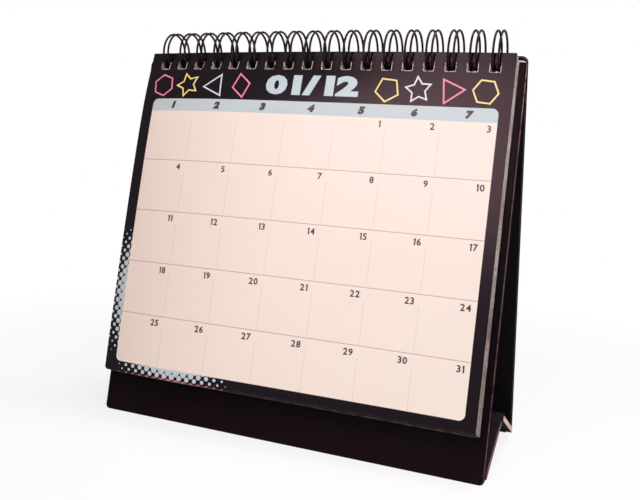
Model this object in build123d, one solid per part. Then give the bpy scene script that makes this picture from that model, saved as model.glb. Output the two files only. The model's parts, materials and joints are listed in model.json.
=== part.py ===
# Wire-bound desk calendar on a folding tent stand.
# X runs to the right along the binding, Y to the back, Z up; the origin is on the desk under the middle.
import os
from itertools import product
from math import atan2, cos, degrees, floor, hypot, pi, radians, sin, sqrt
from build123d import *

# Binding, in millimetres
hole_pitch = 25.4 / 3        # three holes to the inch
hole_width = 4.0
hole_height = 4.2
hole_corner = 0.4
loop_radius = 8.5            # to the middle of the wire
wire_diameter = 0.9
finger_width = 2.2           # between the two wires of a finger
root_angle = 318.0           # where a finger leaves the comb, from +Y towards +Z
tip_angle = -12.0            # where its tip closes, at the back of the loop
ring_height = 155.9          # loop's middle above the desk

# Month leaves
leaf_count = 12
leaf_width = 159.0
leaf_height = 139.0
leaf_thickness = 0.2
leaf_pitch = 0.25            # from one leaf to the next at the binding
leaf_fan = 0.1               # degrees that each leaf leans out beyond the one behind it
leaf_corner = 0.6
leaf_hole_margin = 5.35      # top edge to the middle of the holes
leaf_side_margin = 3.0       # least paper left of the first hole's place and right of the last one's
leaf_hang = 1.0              # wire above the middle of a leaf's holes
pad_clearance = 0.15         # front board to the last leaf

# Stand boards
board_lean = 10.8            # degrees from upright
board_width = leaf_width + 7.0
rear_width = board_width - 1.6
board_thickness = 2.4
board_to_ring = 0.6          # inner face to the loop's middle
front_drop = 3.2             # top edge below the loop's middle, along the board
rear_drop = 0.9
board_hole_drop = 8.7        # middle of the holes below the loop's middle
board_corner = 2.5
foot_corner = 1.8
paper = 0.2
edge_round = 0.8
panel_corner = 0.5
lining_inset = 0.3

# Folding base
base_thickness = 2.2
crease_gap = 2.75            # inner face of a board to the axis of its crease
crease_height = 0.3          # axis of the two foot creases above the desk
fold_height = 14.7           # underside of the fold above the desk
fold_gap = 1.6               # half the space between the two panels at the fold
panel_start = 0.35           # crease axis to the panel's edge
crease_lap = 4.0             # length of crease paper along a panel
crease_space = 0.1           # between crease paper and the panel that lifts off it

lean = radians(board_lean)
hole_count = floor((leaf_width - 2 * leaf_side_margin) / hole_pitch)
holes_x = [(i - (hole_count - 1) / 2) * hole_pitch for i in range(hole_count)]
ring = (0, 0, ring_height)
front_plane = Plane(origin=ring, x_dir=(1, 0, 0), z_dir=(0, -cos(lean), sin(lean)))
rear_plane = Plane(origin=ring, x_dir=(-1, 0, 0), z_dir=(0, cos(lean), sin(lean)))


# A flat sheet on a plane: local Y runs from low to high and local Z from near to far
def sheet(plane, width, low, high, near, far, corner, hole_y=None):
    outline = Pos(0, (low + high) / 2) * RectangleRounded(width, high - low, corner)
    if hole_y is not None:
        outline -= hole_row(hole_y)
    return extrude(plane.offset(near) * outline, far - near)


def hole_row(y):
    return Sketch() + [Pos(x, y) * RectangleRounded(hole_width, hole_height, hole_corner) for x in holes_x]


def above(shape, height):
    return split(shape, bisect_by=Plane.XY.offset(height), keep=Keep.TOP)


# A strip of paper: a section in the Y-Z plane drawn through its corners and run along X
def strip(corners, width):
    section = make_face(Polyline([(0, y, z) for y, z in corners], close=True))
    return extrude(section, width / 2, dir=(1, 0, 0), both=True)


# Front and rear boards: a greyboard core, a wrap over the outside and edges, and a lining on the inside
board_low = -(ring_height + 4 * board_thickness) / cos(lean)
core_near = board_to_ring + paper
board_far = board_to_ring + board_thickness


def wrapped_board(plane, width, top):
    core = sheet(plane, width - 2 * paper, board_low, top - paper, core_near, board_far - paper,
                 board_corner - paper)
    core = rounded_outside(rounded_foot(above(core, paper), foot_corner - paper), plane, edge_round - paper)
    skin = above(sheet(plane, width, board_low, top, core_near, board_far, board_corner), 0)
    skin = rounded_outside(rounded_foot(skin, foot_corner), plane, edge_round)
    punch = extrude(plane * hole_row(-board_hole_drop), board_far + 1)
    lining = sheet(plane, width - 2 * lining_inset, board_low, top - lining_inset, board_to_ring,
                   board_far, board_corner)
    lining = rounded_foot(above(lining, lining_inset), foot_corner - lining_inset)
    lining = split(lining, bisect_by=plane.offset(core_near), keep=Keep.BOTTOM)
    return core - punch, skin - core - punch, lining - punch


def rounded_foot(board, radius):
    foot = board.faces().sort_by(Axis.Z)[0]
    return fillet(foot.edges().filter_by(Axis.Y), radius)


def rounded_outside(board, plane, radius):
    outside = board.faces().sort_by(Axis(ring, plane.z_dir))[-1]
    return fillet(outside.outer_wire().edges(), radius)


# Base panels: hinged at the feet, rising to the fold in the middle
inner_foot = board_to_ring * cos(lean) + (ring_height + board_to_ring * sin(lean)) * sin(lean) / cos(lean)
crease_y = inner_foot - crease_gap
slope = atan2(fold_height - crease_height, crease_y)
panel_tip = (crease_y - fold_gap) / cos(slope)
base_front_plane = Plane(origin=(0, -crease_y, crease_height), x_dir=(1, 0, 0),
                         z_dir=(0, -sin(slope), cos(slope)))
base_rear_plane = Plane(origin=(0, crease_y, crease_height), x_dir=(-1, 0, 0),
                        z_dir=(0, sin(slope), cos(slope)))


def base_panel(plane, width):
    low, high, top = panel_start, panel_tip, base_thickness - paper
    core = sheet(plane, width - 2 * paper, low + paper, high - paper, paper, top, panel_corner)
    skin = sheet(plane, width, low, high, 0, top, panel_corner + paper) - core
    lining = sheet(plane, width - 2 * lining_inset, low + lining_inset, high - lining_inset, top,
                   base_thickness, panel_corner)
    return core, skin, lining


# A point of the front panel's section: along the panel from its crease, and out of its underside
def panel_point(along, out):
    y = -crease_y + along * cos(slope) - out * sin(slope)
    return y, crease_height + along * sin(slope) + out * cos(slope)


# Paper of a foot's crease, from the board's wrap across the gap and a little way under the base panel
def foot_crease(width, side):
    wrap_foot = core_near * cos(lean) + (ring_height + core_near * sin(lean)) * sin(lean) / cos(lean)
    rise = paper * sin(lean) / cos(lean)
    under = crease_space + paper
    corner_low = panel_point(0, -under)
    corners = [(-wrap_foot, 0), (corner_low[0], 0), panel_point(crease_lap, -under),
               panel_point(crease_lap, -crease_space), panel_point(0, -crease_space),
               (-wrap_foot + rise, paper)]
    return strip([(side * y, z) for y, z in corners], width)


# Paper over the top of the base's fold, stuck to the front panel and lying just over the rear one
def fold_crease(width):
    start = panel_tip - crease_lap
    half = []
    for space in (0, crease_space):
        low, high = base_thickness + space, base_thickness + space + paper
        inner, outer = [(crease_y + out * sin(slope)) / cos(slope) for out in (low, high)]
        half.append([panel_point(start, low), panel_point(inner, low), panel_point(outer, high),
                     panel_point(start, high)])
    over_rear = [(-y, z) for y, z in half[1]]
    return strip(half[0], width) + strip(over_rear, width)


# Month leaves, counted from the front of the pad; each hangs on the wire and leans out a little more
def month_leaf(number):
    back = leaf_count - number
    near = board_far + pad_clearance + back * leaf_pitch
    middle = near + leaf_thickness / 2
    hole_y = -sqrt(loop_radius**2 - middle**2) - leaf_hang
    top = hole_y + leaf_hole_margin
    leaf = sheet(front_plane, leaf_width, top - leaf_height, top, near, near + leaf_thickness, leaf_corner,
                 hole_y)
    return leaf.rotate(Axis(ring, (1, 0, 0)), -leaf_fan * (back + 1))


# Binding: one wire that runs round each finger, turns at its tip, comes back and crosses to the next finger
def on_loop(x, angle):
    a = radians(angle)
    return Vector(x, loop_radius * cos(a), ring_height + loop_radius * sin(a))


def turn(x_from, x_to, angle, towards):
    a = radians(angle)
    reach = towards * (x_to - x_from) / 2
    start, end = on_loop(x_from, angle), on_loop(x_to, angle)
    crown = (start + end) * 0.5 + Vector(0, -sin(a), cos(a)) * reach
    return ThreePointArc(start, crown, end)


def around(x, begin, end):
    middle = (begin + end) / 2
    halves = [(begin, middle), (middle, end)]
    return [ThreePointArc(on_loop(x, a), on_loop(x, (a + b) / 2), on_loop(x, b)) for a, b in halves]


def wire_path():
    edges = []
    for number, x in enumerate(holes_x):
        left, right = x - finger_width / 2, x + finger_width / 2
        edges += around(left, root_angle, tip_angle)
        edges.append(turn(left, right, tip_angle, -1))
        edges += around(right, tip_angle, root_angle)
        if number + 1 < hole_count:
            edges.append(turn(right, right + hole_pitch - finger_width, root_angle, 1))
    return edges


# Least space between the wire and itself, from points along it that lie more than a turn's length apart
def least_gap(edges):
    step = 0.25
    points, run = [], 0.0
    for edge in edges:
        count = max(int(edge.length / step), 2)
        for i in range(count):
            points.append((run + edge.length * i / count, edge @ (i / count)))
        run += edge.length
    cells = {}
    for place, point in points:
        cells.setdefault((int(point.X // 3), int(point.Y // 3), int(point.Z // 3)), []).append((place, point))
    best = hole_pitch
    for (i, j, k), here in cells.items():
        around_cell = product((i - 1, i, i + 1), (j - 1, j, j + 1), (k - 1, k, k + 1))
        near = [entry for cell in around_cell for entry in cells.get(cell, [])]
        for place, point in here:
            for other, spot in near:
                if other - place > pi * finger_width / 2 + step:
                    best = min(best, (spot - point).length)
    return best - wire_diameter


binding_edges = wire_path()
binding_line = Wire(binding_edges)
section = Plane(origin=binding_line @ 0, z_dir=binding_line % 0) * Circle(wire_diameter / 2)
binding = sweep(section, path=binding_line)
wire_length = sum(edge.length for edge in binding_edges)
wire_section = pi * wire_diameter**2 / 4
print("wire", round(wire_length, 1), "mm long, least gap to itself", round(least_gap(binding_edges), 2), "mm")
print("wire volume over section times length", round(binding.volume / (wire_length * wire_section), 4))

# All pieces by name
pieces = {"wire_binding": binding}
boards = (("front_board", front_plane, board_width, -front_drop),
          ("rear_board", rear_plane, rear_width, -rear_drop))
for name, plane, width, top in boards:
    core, skin, lining = wrapped_board(plane, width, top)
    pieces |= {name + "_core": core, name + "_wrap": skin, name + "_lining": lining}
for name, plane in (("base_front", base_front_plane), ("base_rear", base_rear_plane)):
    core, skin, lining = base_panel(plane, board_width)
    pieces |= {name + "_core": core, name + "_wrap": skin, name + "_lining": lining}
pieces["front_foot_crease"] = foot_crease(board_width - 2 * foot_corner, 1)
pieces["rear_foot_crease"] = foot_crease(rear_width - 2 * foot_corner, -1)
pieces["base_fold_crease"] = fold_crease(board_width)
for number in range(1, leaf_count + 1):
    pieces[f"month_leaf_{number:02d}"] = month_leaf(number)

# The origin is set under the middle of the whole object, and every piece is written in that frame
extent = Compound(list(pieces.values())).bounding_box()
shift = -(extent.min.Y + extent.max.Y) / 2
os.makedirs("parts", exist_ok=True)
for name, shape in pieces.items():
    export_step(Pos(0, shift, 0) * shape, f"parts/{name}.step")
print("size", [round(v, 2) for v in extent.size], "shift in Y", round(shift, 4))
print("loop axis Y", round(shift, 4), "Z", ring_height)
print("foot crease axes Y", round(shift - crease_y, 4), round(shift + crease_y, 4), "Z", crease_height)
panel_length = hypot(crease_y, fold_height - crease_height)
print("base slope", round(degrees(slope), 3), "panel length", round(panel_length, 2))
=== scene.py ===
# Desk calendar: printed month leaves on a twin-loop wire, hung on a folding tent stand
import bmesh
import bpy
import json
from math import cos, exp, pi, radians, sin, sqrt
from mathutils import Matrix, Vector


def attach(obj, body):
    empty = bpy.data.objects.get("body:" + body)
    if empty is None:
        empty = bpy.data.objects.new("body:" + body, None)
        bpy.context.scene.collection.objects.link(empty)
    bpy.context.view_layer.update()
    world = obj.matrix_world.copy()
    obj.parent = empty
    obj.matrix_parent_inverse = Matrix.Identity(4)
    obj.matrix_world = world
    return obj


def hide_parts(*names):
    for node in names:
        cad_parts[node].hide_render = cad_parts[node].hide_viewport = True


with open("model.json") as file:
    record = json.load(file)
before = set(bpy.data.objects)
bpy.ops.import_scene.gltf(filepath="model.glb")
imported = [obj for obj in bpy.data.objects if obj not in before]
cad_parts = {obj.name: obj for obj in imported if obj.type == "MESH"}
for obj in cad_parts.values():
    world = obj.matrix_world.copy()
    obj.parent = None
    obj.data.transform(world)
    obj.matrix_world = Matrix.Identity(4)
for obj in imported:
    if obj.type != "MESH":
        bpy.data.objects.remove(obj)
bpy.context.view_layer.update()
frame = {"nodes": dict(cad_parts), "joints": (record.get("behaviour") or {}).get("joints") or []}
mm = 0.001
ringAt = Vector(next(j["pos_m"] for j in frame["joints"] if j["name"] == "leaf_01_turn"))
print("frame loaded with", len(frame["nodes"]), "nodes")


# Screen colour, 0 to 255, on the shader's linear scale
def ink(red, green, blue):
    def linear(v):
        v /= 255
        return v / 12.92 if v <= 0.04045 else ((v + 0.055) / 1.055) ** 2.4
    return (linear(red), linear(green), linear(blue), 1.0)


# A shader value that takes part in Python expressions
class Value:
    def __init__(self, tree, socket):
        self.tree, self.socket = tree, socket

    def math(self, operation, *values):
        node = self.tree.nodes.new("ShaderNodeMath")
        node.operation = operation
        for slot, value in zip(node.inputs, values):
            if isinstance(value, Value):
                self.tree.links.new(value.socket, slot)
            else:
                slot.default_value = value
        return Value(self.tree, node.outputs[0])

    def __add__(self, other):
        return self.math("ADD", self, other)

    def __radd__(self, other):
        return self.math("ADD", other, self)

    def __sub__(self, other):
        return self.math("SUBTRACT", self, other)

    def __rsub__(self, other):
        return self.math("SUBTRACT", other, self)

    def __mul__(self, other):
        return self.math("MULTIPLY", self, other)

    def __rmul__(self, other):
        return self.math("MULTIPLY", other, self)

    def __truediv__(self, other):
        return self.math("DIVIDE", self, other)

    def __abs__(self):
        return self.math("ABSOLUTE", self)

    def floor(self):
        return self.math("FLOOR", self)

    def fraction(self):
        return self.math("FRACT", self)

    def root(self):
        return self.math("SQRT", self)

    def least(self, other):
        return self.math("MINIMUM", self, other)

    def most(self, other):
        return self.math("MAXIMUM", self, other)

    def clamped(self):
        return self.least(1.0).most(0.0)

    # 1 where the value is below the limit, with a soft step of the given width
    def below(self, limit, soft):
        return ((limit - self) / soft + 0.5).clamped()

    def above(self, limit, soft):
        return ((self - limit) / soft + 0.5).clamped()


class Finish:
    def __init__(self, name, constants):
        self.material = bpy.data.materials.new(name)
        self.material.use_nodes = True
        self.tree = self.material.node_tree
        self.shader = self.tree.nodes["Principled BSDF"]
        self.feed(self.shader, constants)

    def feed(self, node, sockets):
        for key, value in sockets.items():
            if isinstance(value, Value):
                self.tree.links.new(value.socket, node.inputs[key])
            else:
                node.inputs[key].default_value = value

    def node(self, kind, settings, sockets, out=0):
        made = self.tree.nodes.new(kind)
        for key, value in settings.items():
            setattr(made, key, value)
        self.feed(made, sockets)
        return Value(self.tree, made.outputs[out])

    def set(self, **looks):
        names = {"colour": "Base Color", "roughness": "Roughness", "normal": "Normal", "coat": "Coat Weight"}
        self.feed(self.shader, {names[key]: value for key, value in looks.items()})

    def place(self):
        return self.node("ShaderNodeTexCoord", {}, {}, "Object")

    def parts(self, vector):
        made = self.tree.nodes.new("ShaderNodeSeparateXYZ")
        self.feed(made, {"Vector": vector})
        return [Value(self.tree, out) for out in made.outputs]

    def noise(self, vector, scale, detail):
        sockets = {"Vector": vector, "Scale": scale, "Detail": detail}
        return self.node("ShaderNodeTexNoise", {}, sockets, "Fac")

    def mix(self, share, first, second):
        return self.node("ShaderNodeMix", {"data_type": "RGBA"}, {0: share, 6: first, 7: second}, 2)

    def bump(self, height, strength, distance):
        sockets = {"Height": height, "Strength": strength, "Distance": distance}
        return self.node("ShaderNodeBump", {}, sockets)


# A mesh in the frame's own coordinates becomes a piece that rides on a body
def makePiece(name, bm, finishes, body, smooth=True):
    mesh = bpy.data.meshes.new(name)
    bm.to_mesh(mesh)
    bm.free()
    for finish in finishes:
        mesh.materials.append(finish.material)
    mesh.shade_smooth() if smooth else mesh.shade_flat()
    piece = bpy.data.objects.new(name, mesh)
    bpy.context.scene.collection.objects.link(piece)
    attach(piece, body)
    return piece


def cutAcross(bm, axis, places):
    for at in places:
        normal = Vector((0, 0, 0))
        normal[axis] = 1
        geom = bm.verts[:] + bm.edges[:] + bm.faces[:]
        bmesh.ops.bisect_plane(bm, geom=geom, plane_co=normal * at, plane_no=normal, dist=1e-6)


# Month leaves, in millimetres on the flat sheet: X to the right, Y up from the top edge, Z out of the print
pad = {
    "count": 12, "width": 159.0, "height": 139.0, "thickness": 0.2, "corner": 0.6,
    "boardFace": 3.0, "clearance": 0.15, "pitch": 0.25, "boardLean": 10.8, "fan": 0.1,
    "loopRadius": 8.5, "hang": 1.0, "holeMargin": 5.35,
    "holes": 18, "holePitch": 25.4 / 3, "holeWidth": 4.0, "holeHeight": 4.2, "holeCorner": 0.4,
    "holeBand": 8.6,       # height of the row of cells that the holes are cut in
    "bendRows": 28,
    "belly": 4.8,          # how far the front leaf swells out, most of all left of its middle
    "bellyFrom": 3.4,      # distance below the top edge where that begins
    "bellyRise": 16.0,     # distance in which it comes to about two thirds
    "bellyTurn": 0.75,     # part of a half wave that it makes across the sheet
    "bellyLeft": 2.2,      # how far to the left its crest lies
    "bellyFoot": 0.24,     # share of it that is gone again at the bottom edge
    "bellyFootPower": 5,   # how late that share goes
    "bellyLoss": 0.06,     # share of it that each leaf behind lacks
    "bow": 0.74,           # rise of the binding's middle above its ends
    "slack": {2: 0.34},    # leaves that hang a little lower on the wire
    "skew": 0.42,          # how far the last leaf hangs to the right of the first
    "sharpAngle": 40,      # edges that bend more than this stay sharp
}


def bow(x):
    return pad["bow"] * (1 - (2 * x / pad["width"]) ** 2)


def leafPlace(number):
    back = pad["count"] - number
    near = pad["boardFace"] + pad["clearance"] + back * pad["pitch"]
    middle = near + pad["thickness"] / 2
    top = pad["holeMargin"] - pad["hang"] - sqrt(pad["loopRadius"] ** 2 - middle ** 2)
    lean = pad["boardLean"] + pad["fan"] * (back + 1)
    upright = Matrix.Translation(ringAt) @ Matrix.Rotation(radians(90 - lean), 4, "X")
    return upright @ Matrix.Scale(mm, 4) @ Matrix.Translation((0, top, near + pad["thickness"]))


# Bends what lies on the flat sheet and carries it to its place in the pad
def hangLeaf(bm, number):
    swell = pad["belly"] * (1 - pad["bellyLoss"] * (number - 1))
    for v in bm.verts:
        across = 0.5 - v.co.x / pad["width"]
        down = -v.co.y
        rise = 1 - exp(-max(down - pad["bellyFrom"], 0) / pad["bellyRise"])
        rise *= 1 - pad["bellyFoot"] * (down / pad["height"]) ** pad["bellyFootPower"]
        v.co.z += swell * rise * sin(pi * pad["bellyTurn"] * across ** pad["bellyLeft"])
        v.co.y += bow(v.co.x) * (1 - down / pad["height"]) - pad["slack"].get(number, 0)
        v.co.x += pad["skew"] * (number - 1) / (pad["count"] - 1)
    bmesh.ops.transform(bm, matrix=leafPlace(number), verts=bm.verts)


def flatLeaf():
    bm = bmesh.new()
    bmesh.ops.create_grid(bm, x_segments=1, y_segments=1, size=0.5)
    bmesh.ops.scale(bm, vec=(pad["width"], pad["height"], 1), verts=bm.verts)
    bmesh.ops.translate(bm, vec=(0, -pad["height"] / 2, 0), verts=bm.verts)
    bmesh.ops.bevel(bm, geom=bm.verts[:], offset=pad["corner"], offset_type="OFFSET", segments=3,
                    profile=0.5, affect="VERTICES", material=-1)
    half = pad["holes"] / 2
    bandTop = -pad["holeMargin"] + pad["holeBand"] / 2
    bandLow = bandTop - pad["holeBand"]
    step = (pad["height"] + bandLow) / pad["bendRows"]
    cutAcross(bm, 0, [(i - half) * pad["holePitch"] for i in range(pad["holes"] + 1)])
    cutAcross(bm, 1, [bandTop] + [bandLow - step * i for i in range(pad["bendRows"])])
    row = [f for f in bm.faces if bandLow < f.calc_center_median().y < bandTop]
    cells = [f for f in row if abs(f.calc_center_median().x) < half * pad["holePitch"]]
    for cell in cells:
        at = cell.calc_center_median()
        rim = list(cell.edges)
        bmesh.ops.delete(bm, geom=[cell], context="FACES_ONLY")
        bmesh.ops.triangle_fill(bm, edges=rim + holeLoop(bm, at), use_beauty=True, normal=(0, 0, 1))
    bmesh.ops.solidify(bm, geom=bm.faces[:], thickness=pad["thickness"])
    bmesh.ops.recalc_face_normals(bm, faces=bm.faces)
    lift = -max(v.co.z for v in bm.verts)
    bmesh.ops.translate(bm, vec=(0, 0, lift), verts=bm.verts)
    uvs = bm.loops.layers.uv.new("print")
    for f in bm.faces:
        at = f.calc_center_median()
        inHole = bandLow < at.y < bandTop and abs(at.x) < half * pad["holePitch"]
        f.material_index = 0 if f.normal.z > 0.5 else 1 if f.normal.z < -0.5 else 3 if inHole else 2
        for loop in f.loops:
            loop[uvs].uv = (loop.vert.co.x / pad["width"] + 0.5, 1 + loop.vert.co.y / pad["height"])
    return bm


# The rounded outline of one hole, as loose edges
def holeLoop(bm, at):
    corners = bmesh.ops.create_grid(bm, x_segments=1, y_segments=1, size=0.5)["verts"]
    bmesh.ops.scale(bm, vec=(pad["holeWidth"], pad["holeHeight"], 1), verts=corners)
    bmesh.ops.translate(bm, vec=at, verts=corners)
    made = bmesh.ops.bevel(bm, geom=corners, offset=pad["holeCorner"], offset_type="OFFSET", segments=3,
                           profile=0.5, affect="VERTICES", material=-1)
    face = max({f for v in made["verts"] for f in v.link_faces}, key=lambda f: len(f.verts))
    loop = list(face.edges)
    bmesh.ops.delete(bm, geom=[face], context="FACES_ONLY")
    return loop


# The print of a month side, in millimetres from the leaf's middle and down from its top edge
layout = {
    "left": -74.2, "right": 75.0, "top": 21.2, "bottom": 135.1, "radius": 2.4, "columns": 7,
    "bandBottom": 26.6, "firstRow": 26.2, "rowPitch": 22.0,
    "lineWidth": 0.24, "dotPitch": 1.15, "dotSize": 0.4, "dotsFrom": 4.4, "dotsTo": 21.3,
    "toneStep": 3.55,                  # from dot to dot along a row of the halftone
    "toneAt": (-72.1, 136.2),          # the middle of one of its dots
    "toneSide": (105.0, 27.0),         # middle and half length of the halftone on the left edge
    "toneFoot": (-46.5, 26.5),         # the same along the bottom edge
    "toneFull": 1.75,                  # largest radius of a dot
    "toneFall": 0.19,                  # its loss for each millimetre off the panel
    "toneReach": 2.0,                  # how far within the panel's edge a dot's middle may still lie
    "toneLeast": 0.15,                 # smallest radius that is printed
    "cutEdge": 0.07,                   # height of the pale line along the bottom edge: the cut paper's pale core, and a painted highlight where the edge catches light
    "cutShow": 0.09,                   # share of the pale colour in that edge
    "rimHighlight": 0.18,                      # width of the painted highlight round a hole, where light catches the punched edge
    "rimHighlightFrom": -1.2,                  # the painted highlight shows below this height in the hole, on its lower edges
    "soft": 0.06,                      # width of the step at a printed edge
    "fibreScale": 2600.0, "rimBreakScale": 1100.0, "mottleScale": 90.0, "nickScale": 260.0,
    "border": ink(15, 6, 14), "paper": ink(246, 242, 231), "band": ink(200, 221, 224),
    # The rim colour paints the highlight round the holes, and the pale line along the bottom edge
    "line": ink(176, 132, 124), "dots": ink(190, 160, 150), "rim": ink(250, 232, 228),
    "borderFleck": ink(20, 10, 18), "paperFleck": ink(243, 236, 223), "bandFleck": ink(194, 213, 216),
}
layout["columnPitch"] = (layout["right"] - layout["left"]) / layout["columns"]
# Each print has its own accent, and its halftone sits a little higher or lower on the sheet
accents = {
    "blue": (ink(197, 218, 223), 0.0),
    "pink": (ink(244, 140, 165), -0.85),
    "yellow": (ink(246, 226, 150), -0.4),
}


# Distance to a rounded box about the middle, negative inside it
def boxDistance(x, y, halfX, halfY, radius):
    outX, outY = abs(x) - (halfX - radius), abs(y) - (halfY - radius)
    corner = (outX.most(0) * outX.most(0) + outY.most(0) * outY.most(0)).root()
    return corner + outX.most(outY).least(0) - radius


def printFinish(name, accent, toneShift):
    finish = Finish(name, {"Specular IOR Level": 0.0, "Coat Roughness": 0.24})
    uv = finish.parts(finish.node("ShaderNodeUVMap", {"uv_map": "print"}, {}))
    x = (uv[0] - 0.5) * pad["width"]
    down = (1 - uv[1]) * pad["height"]
    panelX, panelDown = (layout["left"] + layout["right"]) / 2, (layout["top"] + layout["bottom"]) / 2
    halfX, halfDown = (layout["right"] - layout["left"]) / 2, (layout["bottom"] - layout["top"]) / 2
    outside = boxDistance(x - panelX, down - panelDown, halfX, halfDown, layout["radius"])
    panel = outside.below(0, layout["soft"])
    band = down.below(layout["bandBottom"], layout["soft"])

    # Ruled lines between the weeks, dotted ones between the days
    week = ((down - layout["firstRow"]) / layout["rowPitch"]).fraction() * layout["rowPitch"]
    rule = week.least(layout["rowPitch"] - week).below(layout["lineWidth"] / 2, 0.08)
    day = ((layout["right"] - x) / layout["columnPitch"]).fraction() * layout["columnPitch"]
    aside = day.least(layout["columnPitch"] - day)
    along = ((week / layout["dotPitch"]).fraction() - 0.5) * layout["dotPitch"]
    dotted = (aside * aside + along * along).root().below(layout["dotSize"] / 2, 0.05)
    dotted = dotted * week.above(layout["dotsFrom"], 0.1) * week.below(layout["dotsTo"], 0.1)

    # Halftone: each dot of a diagonal lattice has one radius, set by where its middle lies
    step = layout["toneStep"]
    toneX, toneDown = layout["toneAt"][0], layout["toneAt"][1] + toneShift
    offX, offDown = x - toneX, down - toneDown
    a, b = (offX + offDown) / step + 0.5, (offX - offDown) / step + 0.5
    dotX = toneX + (a.floor() + b.floor()) * (step / 2)
    dotDown = toneDown + (a.floor() - b.floor()) * (step / 2)
    fromDot = ((x - dotX) * (x - dotX) + (down - dotDown) * (down - dotDown)).root()
    side = (1 - abs(dotDown - layout["toneSide"][0]) / layout["toneSide"][1]).most(0).root()
    foot = (1 - abs(dotX - layout["toneFoot"][0]) / layout["toneFoot"][1]).most(0).root()
    sideRadius = side * (layout["toneFull"] - (layout["left"] - dotX).most(0) * layout["toneFall"])
    footRadius = foot * (layout["toneFull"] - (dotDown - layout["bottom"]).most(0) * layout["toneFall"])
    sideRadius = sideRadius * dotX.below(layout["left"] + layout["toneReach"], 0.1)
    footRadius = footRadius * dotDown.above(layout["bottom"] - layout["toneReach"], 0.1)
    radius = sideRadius.most(footRadius)
    tone = fromDot.below(radius, 0.08) * radius.above(layout["toneLeast"], 0.05)

    # Painted highlight: a pale, broken rim on the lower edges of the punched holes, where they catch the
    # light
    holeX = ((x / pad["holePitch"]).fraction() - 0.5) * pad["holePitch"]
    holeDown = down - pad["holeMargin"]
    rim = boxDistance(holeX, holeDown, pad["holeWidth"] / 2, pad["holeHeight"] / 2, pad["holeCorner"])
    place = finish.place()
    fibre = finish.noise(place, layout["fibreScale"], 2.0)
    broken = finish.noise(place, layout["rimBreakScale"], 2.0).above(0.42, 0.1)
    rim = rim.below(layout["rimHighlight"], 0.1) * holeDown.above(layout["rimHighlightFrom"], 0.8) * broken
    rim = rim * abs(x).below(pad["holes"] / 2 * pad["holePitch"], 0.1)

    mottle = finish.noise(place, layout["mottleScale"], 4.0)
    paper = finish.mix(mottle * 0.5, layout["paper"], layout["paperFleck"])
    paper = finish.mix(rule * 0.85, paper, layout["line"])
    paper = finish.mix(dotted * 0.7, paper, layout["dots"])
    paper = finish.mix(band, paper, finish.mix(mottle * 0.4, layout["band"], layout["bandFleck"]))
    edge = finish.mix(mottle * 0.6, layout["border"], layout["borderFleck"])
    nicks = finish.noise(place, layout["nickScale"], 2.0).above(0.45, 0.3)
    # Pale line along the bottom edge: the cut paper's core, and a painted highlight where the edge catches
    # light
    paleCutAndHighlight = down.above(pad["height"] - layout["cutEdge"], 0.03) * nicks
    edge = finish.mix(rim.most(paleCutAndHighlight * layout["cutShow"]), finish.mix(tone, edge, accent), layout["rim"])
    finish.set(colour=finish.mix(panel, edge, paper), roughness=0.5 + fibre * 0.1, coat=0.23 - panel * 0.13,
               normal=finish.bump(fibre, 0.06, 0.0002))
    return finish


paperGrain = {"fibreScale": 1800.0, "cloudScale": 60.0}


def paperFinish(name, shade, fleck, contrast):
    finish = Finish(name, {"Specular IOR Level": 0.3})
    place = finish.place()
    fibre = finish.noise(place, paperGrain["fibreScale"], 4.0)
    cloud = finish.noise(place, paperGrain["cloudScale"], 3.0)
    speckle = ((fibre * 0.6 + cloud * 0.4 - 0.5) * contrast + 0.5).clamped()
    finish.set(colour=finish.mix(speckle, shade, fleck), roughness=0.6 + fibre * 0.2,
               normal=finish.bump(fibre, 0.15, 0.0002))
    return finish


inkLayer = {
    "over": 0.045, "under": 0.03,      # top of the ink above the sheet, and its foot within it
    "coverScale": 700.0,
}


def inkFinish(name, shade, rub):
    finish = Finish(name, {"Specular IOR Level": 0.45})
    cover = finish.noise(finish.place(), inkLayer["coverScale"], 3.0)
    finish.set(colour=finish.mix(cover, shade, rub), roughness=0.36 + cover * 0.12)
    return finish


leafBack = paperFinish("leaf_back", ink(244, 234, 226), ink(232, 220, 210), 1.0)
# The hole walls are the same paper as the edges, painted dark for the shade that the wire loops cast in them
holeWallShade = paperFinish("leaf_hole_shade", ink(104, 84, 82), ink(52, 40, 42), 3.0)
leafEdge = paperFinish("leaf_edge", ink(252, 238, 232), ink(146, 118, 112), 5.0)
leafPrints = {key: printFinish("leaf_print_" + key, *look) for key, look in accents.items()}
inks = {
    "dark": inkFinish("ink_dark", ink(20, 15, 17), ink(32, 26, 28)),
    "heavy": inkFinish("ink_heavy", ink(24, 19, 24), ink(34, 28, 32)),
    "blue": inkFinish("ink_blue", ink(193, 219, 224), ink(184, 211, 217)),
    "pink": inkFinish("ink_pink", ink(252, 148, 175), ink(243, 134, 163)),
    "yellow": inkFinish("ink_yellow", ink(252, 236, 156), ink(246, 225, 138)),
    "pale": inkFinish("ink_pale", ink(226, 236, 242), ink(212, 225, 233)),
}
inkOrder = list(inks)
print("leaf finishes made")


# Numerals come from the built-in letters, each a thin solid of unit height with its lower left corner at 0
glyphStyles = {
    "plain": {"offset": 0.026, "shear": 0.0, "flag": 0.2, "stretch": 1.0},
    "heavy": {"offset": 0.085, "shear": 0.22, "flag": 0.2, "stretch": 1.2},
    "title": {"offset": 0.06, "shear": 0.0, "flag": 0.22, "stretch": 1.68},
}
glyphs = {}


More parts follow.
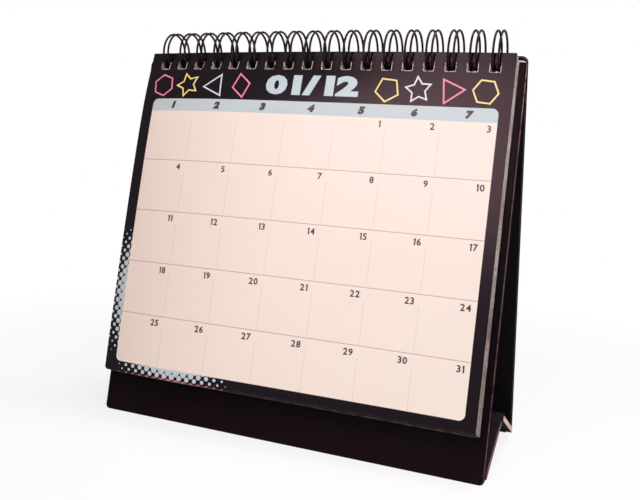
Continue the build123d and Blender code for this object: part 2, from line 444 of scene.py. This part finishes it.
def glyph(letter, style):
    if (letter, style) not in glyphs:
        look = glyphStyles[style]
        curve = bpy.data.curves.new("glyph", "FONT")
        curve.body = letter
        curve.offset = look["offset"]
        curve.extrude = 0.5
        curve.resolution_u = 3
        holder = bpy.data.objects.new("glyph", curve)
        bpy.context.scene.collection.objects.link(holder)
        bpy.context.view_layer.update()
        mesh = bpy.data.meshes.new_from_object(holder.evaluated_get(bpy.context.evaluated_depsgraph_get()))
        bpy.data.objects.remove(holder)
        bm = bmesh.new()
        bm.from_mesh(mesh)
        bmesh.ops.remove_doubles(bm, verts=bm.verts, dist=1e-5)
        low = Vector([min(v.co[i] for v in bm.verts) for i in range(3)])
        tall = max(v.co.y for v in bm.verts) - low.y
        bmesh.ops.translate(bm, vec=(-low.x, -low.y, 0), verts=bm.verts)
        bmesh.ops.scale(bm, vec=(look["stretch"] / tall, 1 / tall, 1), verts=bm.verts)
        if letter == "1":
            addFlag(bm, look["flag"])
        for v in bm.verts:
            v.co.x += look["shear"] * v.co.y
        wide = max(v.co.x for v in bm.verts) - look["shear"] * 0.5
        bm.to_mesh(mesh)
        bm.free()
        glyphs[letter, style] = (mesh, wide)
    return glyphs[letter, style]


# The short stroke at the top left of a one
flagStroke = {"thick": 0.16, "slope": 0.55, "shift": 0.8}


def addFlag(bm, reach):
    stem = max(v.co.x for v in bm.verts)
    thick = min(stem, flagStroke["thick"])
    bar = bmesh.ops.create_cube(bm, size=1.0)["verts"]
    bmesh.ops.scale(bm, vec=(reach, thick, 1), verts=bar)
    bmesh.ops.translate(bm, vec=(stem / 2 - reach / 2, 1 - thick / 2, 0), verts=bar)
    for v in bar:
        v.co.y += (v.co.x - stem / 2) * flagStroke["slope"]
    bmesh.ops.translate(bm, vec=(reach * flagStroke["shift"], 0, 0), verts=bm.verts)


# Puts a copy of a mark, one unit thick, on the flat sheet
def stamp(bm, mesh, at, size, turn, shade):
    mark = mesh.copy()
    deep = inkLayer["over"] + inkLayer["under"]
    lie = Matrix.Translation((at[0], at[1], inkLayer["over"] - deep / 2))
    lie = lie @ Matrix.Rotation(radians(turn), 4, "Z")
    mark.transform(lie @ Matrix.Diagonal((size, size, deep, 1)))
    mark.polygons.foreach_set("material_index", [inkOrder.index(shade)] * len(mark.polygons))
    bm.from_mesh(mark)
    bpy.data.meshes.remove(mark)


# Writes a number on the flat sheet; anchor 0 sets it to the right of at, 0.5 in the middle, 1 to its left
def writeNumber(bm, text, style, at, height, gap, anchor, shade):
    widths = [glyph(letter, style)[1] * height for letter in text]
    x = at[0] - anchor * (sum(widths) + gap * height * (len(text) - 1))
    for letter, wide in zip(text, widths):
        stamp(bm, glyph(letter, style)[0], (x, at[1]), height, 0, shade)
        x += wide + gap * height


# A closed line round a polygon; every second corner may lie nearer to the middle
def outlined(corners, inner, size):
    bm = bmesh.new()
    ring = bmesh.ops.create_circle(bm, cap_ends=True, segments=corners, radius=size)["verts"]
    for v in ring[1::2]:
        v.co *= inner
    middle = list(bm.faces)
    bmesh.ops.inset_region(bm, faces=middle, thickness=motifs["stroke"], use_even_offset=True,
                           use_boundary=True)
    bmesh.ops.delete(bm, geom=middle, context="FACES")
    raised = bmesh.ops.extrude_face_region(bm, geom=bm.faces[:])["geom"]
    bmesh.ops.translate(bm, vec=(0, 0, 1), verts=[v for v in raised if isinstance(v, bmesh.types.BMVert)])
    bmesh.ops.translate(bm, vec=(0, 0, -0.5), verts=bm.verts)
    bmesh.ops.recalc_face_normals(bm, faces=bm.faces)
    mesh = bpy.data.meshes.new("outline")
    bm.to_mesh(mesh)
    bm.free()
    return mesh


# Outlined shapes beside the title: shape, X, distance below the top edge, size, turn, ink
motifs = {
    "stroke": 0.6,
    "shapes": {            # corners, and the share of the size at which every second one lies
        "star": (10, 0.52), "hexagon": (6, 1.0), "triangle": (3, 1.0),
        "diamond": (4, 0.74), "pentagon": (5, 1.0),
    },
    "drawn": (
        ("hexagon", -70.6, 15.0, 5.2, 10, "pink"), ("star", -58.2, 14.8, 5.9, 22, "yellow"),
        ("triangle", -44.8, 15.2, 6.0, 96, "pale"), ("diamond", -32.4, 15.0, 5.8, 14, "pink"),
        ("pentagon", 31.2, 15.2, 5.3, 30, "yellow"), ("star", 43.6, 15.0, 5.8, 8, "pale"),
        ("triangle", 56.2, 15.0, 6.0, -84, "pink"), ("hexagon", 69.4, 15.0, 5.2, 24, "yellow"),
    ),
}
numbers = {
    "dateHeight": 2.65, "dateGap": 0.16, "dateRight": 2.1, "dateTop": 1.45,
    "dayHeight": 3.2, "dayBase": 25.5, "dayShift": -0.2, "dayGap": 0.1,
    "titleHeight": 8.4, "titleBase": 18.6, "titleGap": 0.1, "titleAt": -0.8,
    "bendAt": (9, 11, 13, 15, 17, 19),     # tall shapes are cut there, so that they bend with the sheet
    "lengths": (31, 28, 31, 30, 31, 30, 31, 31, 30, 31, 30, 31),
    "firstColumn": 4,      # the year's first day falls in the fifth column
    "rows": 5,             # a sixth week goes back to the first row
}


def monthPrint(number):
    bm = bmesh.new()
    title = f"{number:02d}/{pad['count']}"
    writeNumber(bm, title, "title", (numbers["titleAt"], -numbers["titleBase"]), numbers["titleHeight"],
                numbers["titleGap"], 0.5, "blue")
    columns = layout["columns"]
    for column in range(columns):
        x = layout["right"] - (columns - 0.5 - column) * layout["columnPitch"] + numbers["dayShift"]
        writeNumber(bm, str(column + 1), "heavy", (x, -numbers["dayBase"]), numbers["dayHeight"],
                    numbers["dayGap"], 0.5, "heavy")
    first = (numbers["firstColumn"] + sum(numbers["lengths"][:number - 1])) % columns
    for date in range(1, numbers["lengths"][number - 1] + 1):
        row, column = divmod(first + date - 1, columns)
        row %= numbers["rows"]
        x = layout["right"] - (columns - 1 - column) * layout["columnPitch"] - numbers["dateRight"]
        y = -(layout["firstRow"] + row * layout["rowPitch"] + numbers["dateTop"] + numbers["dateHeight"])
        writeNumber(bm, str(date), "plain", (x, y), numbers["dateHeight"], numbers["dateGap"], 1.0, "dark")
    for mesh, x, down, turn, shade in outlines:
        stamp(bm, mesh, (x, -down), 1.0, turn, shade)
    cutAcross(bm, 1, [-down for down in numbers["bendAt"]])
    return bm


outlines = [(outlined(*motifs["shapes"][shape], size), x, down, turn, shade)
            for shape, x, down, size, turn, shade in motifs["drawn"]]
sheetPattern = flatLeaf()
for number in range(1, pad["count"] + 1):
    body, node = f"leaf_{number:02d}", f"month_leaf_{number:02d}"
    accent = list(accents)[(number - 1) % len(accents)]
    sheet = sheetPattern.copy()
    hangLeaf(sheet, number)
    papers = [leafPrints[accent], leafBack, leafEdge, holeWallShade]
    leaf = makePiece(f"leaf_sheet_{number:02d}", sheet, papers, body)
    leaf.data.set_sharp_from_angle(angle=radians(pad["sharpAngle"]))
    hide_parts(node)
    lettering = monthPrint(number)
    hangLeaf(lettering, number)
    makePiece(f"leaf_numerals_{number:02d}", lettering, list(inks.values()), body, False)
sheetPattern.free()
print("leaves hung:", pad["count"])


# Twin-loop wire: a ring of points is spun round each finger, about its tip, back, and on to the next finger
binding = {
    "wire": 0.9, "finger": 2.2, "root": 318.0, "tip": -12.0,
    "sides": 12, "loopSteps": 44, "turnSteps": 8,
    "shineFrom": 0.004, "shineOver": 0.003,      # metres above the loops' axis where the upper arcs get their painted highlight
    "wearScale": 900.0, "black": ink(20, 14, 15), "brown": ink(98, 66, 64),
}


def wireFinish():
    finish = Finish("wire_coat", {"Specular IOR Level": 0.0, "Coat Roughness": 0.25})
    place = finish.place()
    wear = finish.noise(place, binding["wearScale"], 3.0)
    # Painted highlight: above the loops' axis, where light from above falls, the wire gets more of the
    # brown; the noise alone gives rubbed wear all round
    high = (finish.parts(place)[2] - ringAt.z).above(binding["shineFrom"], binding["shineOver"])
    rubAndShine = wear.above(0.55, 0.12) * (0.2 + high * 0.6)
    finish.set(colour=finish.mix(rubAndShine, binding["black"], binding["brown"]), roughness=0.5,
               coat=0.1 + wear * 0.15, normal=finish.bump(wear, 0.1, 0.0001))
    return finish


def combWire():
    bm = bmesh.new()
    radius = pad["loopRadius"]

    def radial(angle):
        return Vector((0, cos(radians(angle)), sin(radians(angle))))

    def spun(ring, centre, axis, angle, steps):
        made = bmesh.ops.spin(bm, geom=ring, cent=centre, axis=axis, angle=radians(angle), steps=steps)
        return made["geom_last"]

    travel = binding["tip"] - binding["root"]
    xs = [(i - (pad["holes"] - 1) / 2) * pad["holePitch"] for i in range(pad["holes"])]
    start = Vector((xs[0] - binding["finger"] / 2, 0, 0)) + radial(binding["root"]) * radius
    across = Matrix.Rotation(radians(binding["root"]), 4, "X")
    ring = bmesh.ops.create_circle(bm, segments=binding["sides"], radius=binding["wire"] / 2)["verts"]
    bmesh.ops.rotate(bm, verts=ring, cent=(0, 0, 0), matrix=across)
    bmesh.ops.translate(bm, verts=ring, vec=start)
    ring = ring + list({e for v in ring for e in v.link_edges})
    for i, x in enumerate(xs):
        ring = spun(ring, (0, 0, 0), (1, 0, 0), travel, binding["loopSteps"])
        tip = Vector((x, 0, 0)) + radial(binding["tip"]) * radius
        ring = spun(ring, tip, radial(binding["tip"]), -180, binding["turnSteps"])
        ring = spun(ring, (0, 0, 0), (1, 0, 0), -travel, binding["loopSteps"])
        if i + 1 < pad["holes"]:
            foot = Vector((x + pad["holePitch"] / 2, 0, 0)) + radial(binding["root"]) * radius
            ring = spun(ring, foot, radial(binding["root"]), 180, binding["turnSteps"])
    bmesh.ops.holes_fill(bm, edges=[e for e in bm.edges if e.is_boundary], sides=0)
    bmesh.ops.recalc_face_normals(bm, faces=bm.faces)
    for v in bm.verts:
        v.co.z += bow(v.co.x)
    place = Matrix.Translation(ringAt) @ Matrix.Scale(mm, 4)
    bmesh.ops.transform(bm, matrix=place, verts=bm.verts)
    return bm


comb = makePiece("comb_wire", combWire(), [wireFinish()], "front_board")
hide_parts("wire_binding")
print("wire wound")


# Stand: laminated boards with pale lines along their edges, part wear and part painted highlight; lengths in
# metres
stand = {
    "lean": radians(pad["boardLean"]), "far": 0.003, "round": 0.0008, "line": 0.0003,
    "frontHalf": 0.083, "rearHalf": 0.0822, "frontDrop": 0.0032, "rearDrop": 0.0009,
    "cloudScale": 25.0, "grainScale": 1400.0, "chipScale": 420.0,
    "footSheenAt": 0.006, "footSheenOver": 0.02,             # height of the painted warm reflection along the foot, and its fade
    "edgeLineFrom": -0.03, "edgeLineOver": 0.02,           # the pale edge line, part wear and part painted highlight, is stronger above this place on the board
    "black": ink(13, 10, 13), "brown": ink(19, 13, 17), "glow": ink(42, 27, 33),
    # The shine colour is a painted highlight on the front board's top edge; the scuff colour beside it is
    # the pale edge line, part wear and part painted highlight
    "shine": ink(245, 212, 207), "scuffAndHighlight": ink(150, 112, 114),
    # The pale side colour is for the rear base panel's sides; dim is a darker copy of it for the base front
    # panel's sides, as painted shade
    "paleSide": ink(236, 206, 202), "dim": ink(150, 106, 112),
    "lining": ink(21, 17, 22), "liningFleck": ink(29, 23, 28), "liningGrain": 1100.0, "liningCloud": 30.0,
}


# Coat is thin on the faces and missing on the cut sides; on the front board the top edge gets a painted
# highlight in the shine colour, broken up like rubbed wear
def wrapFinish(name, half, drop, side, rubAndShine):
    finish = Finish(name, {"Specular IOR Level": 0.0, "Coat Roughness": 0.2})
    place = finish.place()
    x, y, z = finish.parts(place)
    back, up = abs(y - ringAt.y), z - ringAt.z
    out = back * cos(stand["lean"]) + up * sin(stand["lean"])
    along = up * cos(stand["lean"]) - back * sin(stand["lean"])
    cloud = finish.noise(place, stand["cloudScale"], 3.0)
    grain = finish.noise(place, stand["grainScale"], 3.0)
    chips = finish.noise(place, stand["chipScale"], 4.0)
    sideways = abs(x) - (half - stand["round"])
    # Pale, broken line along the front side edges: part wear, part painted highlight of the rounded edge
    edgeWearAndHighlight = sideways.above(stand["round"] * 0.55, stand["line"])
    edgeWearAndHighlight = edgeWearAndHighlight * (out - (stand["far"] - stand["round"])).above(stand["round"] * 0.4, stand["line"])
    edgeWearAndHighlight = edgeWearAndHighlight * chips.above(0.4, 0.25)
    edgeWearAndHighlight = edgeWearAndHighlight * (0.3 + along.above(stand["edgeLineFrom"], stand["edgeLineOver"]) * 0.4)
    flank = sideways.above(stand["round"] * 0.9, stand["round"] * 0.2)
    # Painted highlight along the rounded top edge, where light from above catches it
    crown = rubAndShine * (along + (drop + stand["round"])).above(0, stand["line"])
    crown = crown * (out - (stand["far"] - stand["round"])).above(0, stand["line"])
    shade = finish.mix(cloud, stand["black"], stand["brown"])
    # Painted reflection of warm light along the foot of each board
    shade = finish.mix(z.below(stand["footSheenAt"], stand["footSheenOver"]) * 0.5, shade, stand["glow"])
    shade = finish.mix(flank * chips, shade, side)
    shade = finish.mix(crown * chips.above(0.3, 0.3), shade, stand["shine"])
    finish.set(colour=finish.mix(edgeWearAndHighlight, shade, stand["scuffAndHighlight"]), roughness=0.5 + cloud * 0.1,
               coat=(0.02 + cloud * 0.03) * (1 - flank),
               normal=finish.bump(grain * 0.4 + cloud * 0.6, 0.1, 0.0004))
    return finish


def liningFinish():
    finish = Finish("stand_lining", {"Specular IOR Level": 0.0, "Coat Roughness": 0.4})
    place = finish.place()
    grain = finish.noise(place, stand["liningGrain"], 4.0)
    cloud = finish.noise(place, stand["liningCloud"], 2.0)
    finish.set(colour=finish.mix(cloud, stand["lining"], stand["liningFleck"]), roughness=0.6 + grain * 0.14,
               coat=0.08 + cloud * 0.05, normal=finish.bump(grain, 0.2, 0.0003))
    return finish


frontWrap = wrapFinish("front_wrap", stand["frontHalf"], stand["frontDrop"], stand["brown"], 1.0)
rearWrap = wrapFinish("rear_wrap", stand["rearHalf"], stand["rearDrop"], stand["brown"], 0.0)
# The base front panel's sides get the dim copy of the pale side colour: painted shade
baseFrontWrap = wrapFinish("base_front_wrap", stand["frontHalf"], 0, stand["dim"], 0.0)
baseRearWrap = wrapFinish("base_rear_wrap", stand["frontHalf"], 0, stand["paleSide"], 0.0)
lining = liningFinish()
greyboard = paperFinish("stand_core", ink(150, 140, 130), ink(122, 112, 102), 1.0)
dressing = {
    "front_board_wrap": frontWrap, "front_foot_crease": frontWrap, "base_front_wrap": baseFrontWrap,
    "rear_board_wrap": rearWrap, "rear_foot_crease": rearWrap, "base_rear_wrap": baseRearWrap,
    "base_fold_crease": lining,
}
for name, node in frame["nodes"].items():
    inner = lining if name.endswith("_lining") else greyboard if name.endswith("_core") else None
    finish = dressing.get(name, inner)
    if finish:
        node.data.materials.clear()
        node.data.materials.append(finish.material)
print("stand finished")


# Floor, lamps and camera
studio = {
    "floor": ink(250, 249, 248), "fadeFrom": 0.06, "fadeTo": 0.32, "floorRadius": 12.0, "floorSides": 64,
    "nearWhite": 0.8,      # share of plain white in the floor beside the object
    "world": (0.06, (1.0, 0.94, 0.9, 1.0)),
    "unmirrored": ("warmth",),     # lamps that leave no highlight
    "lamps": (   # name, place, aim, width, watts, colour, spread in degrees
        ("key", (0.20, -0.25, 0.46), (0.05, 0.0, 0.11), 0.25, 1.06, (0.80, 1.0, 0.965), 180),
        ("sheen", (-0.10, -0.53, 0.36), (0.06, 0.0, 0.14), 0.2, 0.21, (1.0, 0.60, 0.68), 60),
        ("side", (0.55, -0.02, 0.14), (0.08, 0.0, 0.08), 0.2, 0.34, (1.0, 0.95, 0.93), 60),
        ("warmth", (-0.35, -0.25, 0.05), (-0.04, -0.02, 0.05), 0.25, 0.17, (1.0, 0.45, 0.25), 180),
        ("crown", (0.12, 0.12, 0.75), (0.02, 0.0, 0.15), 0.16, 2.2, (1.0, 0.82, 0.80), 180),
    ),
}


# 1 for the rays that show the backdrop: straight from the camera, mirrored, or through something clear
def shows(tree):
    path = tree.nodes.new("ShaderNodeLightPath").outputs
    rays = [Value(tree, path[name]) for name in ("Is Camera Ray", "Is Glossy Ray", "Is Transmission Ray")]
    return rays[0].most(rays[1]).most(rays[2])


def floorPiece():
    bm = bmesh.new()
    bmesh.ops.create_circle(bm, cap_ends=True, segments=studio["floorSides"], radius=studio["floorRadius"])
    mesh = bpy.data.meshes.new("floor")
    bm.to_mesh(mesh)
    bm.free()
    finish = Finish("floor", {"Roughness": 0.9, "Specular IOR Level": 0.0, "Base Color": studio["floor"]})
    x, y, z = finish.parts(finish.place())
    away = (x * x + y * y).root()
    glow = finish.node("ShaderNodeEmission", {}, {"Color": (1, 1, 1, 1), "Strength": 1.0})
    fade = ((away - studio["fadeFrom"]) / (studio["fadeTo"] - studio["fadeFrom"])).clamped()
    white = (studio["nearWhite"] + fade * (1 - studio["nearWhite"])) * shows(finish.tree)
    surface = Value(finish.tree, finish.shader.outputs[0])
    mixed = finish.node("ShaderNodeMixShader", {}, {0: white, 1: surface, 2: glow})
    finish.feed(finish.tree.nodes["Material Output"], {"Surface": mixed})
    mesh.materials.append(finish.material)
    floor = bpy.data.objects.new("floor", mesh)
    bpy.context.scene.collection.objects.link(floor)


def lightWorld():
    world = bpy.data.worlds.new("studio")
    bpy.context.scene.world = world
    world.use_nodes = True
    tree = world.node_tree
    level, shade = studio["world"]
    seen = shows(tree)
    dim = tree.nodes["Background"]
    dim.inputs["Color"].default_value = shade
    dim.inputs["Strength"].default_value = level
    white = tree.nodes.new("ShaderNodeBackground")
    white.inputs["Color"].default_value = (1, 1, 1, 1)
    mixed = tree.nodes.new("ShaderNodeMixShader")
    tree.links.new(seen.socket, mixed.inputs[0])
    tree.links.new(dim.outputs[0], mixed.inputs[1])
    tree.links.new(white.outputs[0], mixed.inputs[2])
    tree.links.new(mixed.outputs[0], tree.nodes["World Output"].inputs["Surface"])


def hangLamps():
    for name, place, aim, width, watts, shade, spread in studio["lamps"]:
        lamp = bpy.data.lights.new(name, "AREA")
        lamp.size, lamp.energy, lamp.color, lamp.spread = width, watts, shade, radians(spread)
        holder = bpy.data.objects.new(name, lamp)
        holder.location = place
        holder.visible_glossy = name not in studio["unmirrored"]
        holder.rotation_euler = (Vector(aim) - Vector(place)).to_track_quat("-Z", "Y").to_euler()
        bpy.context.scene.collection.objects.link(holder)


lens = {
    "at": (0.130372, -0.30495, 0.119609), "yaw": 22.819, "pitch": -6.657, "roll": 2.609,
    "focal": 790.6, "middle": 235.0, "frame": (640.0, 500.0),      # in pixels of the picture
    "sensor": 36.0, "clip": (0.01, 50.0),
}


def setCamera():
    yaw, pitch = radians(lens["yaw"]), radians(lens["pitch"])
    ahead = Vector((-sin(yaw) * cos(pitch), cos(yaw) * cos(pitch), sin(pitch)))
    right = Vector((cos(yaw), sin(yaw), 0))
    axes = Matrix((right, right.cross(ahead), -ahead)).transposed().to_4x4()
    camera = bpy.data.cameras.new("camera")
    camera.sensor_width = lens["sensor"]
    camera.lens = lens["focal"] * camera.sensor_width / lens["frame"][0]
    camera.shift_y = (lens["middle"] - lens["frame"][1] / 2) / lens["frame"][0]
    camera.clip_start, camera.clip_end = lens["clip"]
    holder = bpy.data.objects.new("camera", camera)
    roll = Matrix.Rotation(radians(lens["roll"]), 4, "Z")
    holder.matrix_world = Matrix.Translation(lens["at"]) @ axes @ roll
    bpy.context.scene.collection.objects.link(holder)
    bpy.context.scene.camera = holder


floorPiece()
lightWorld()
hangLamps()
setCamera()
bpy.context.scene.view_settings.view_transform = "Standard"
print("stage set")
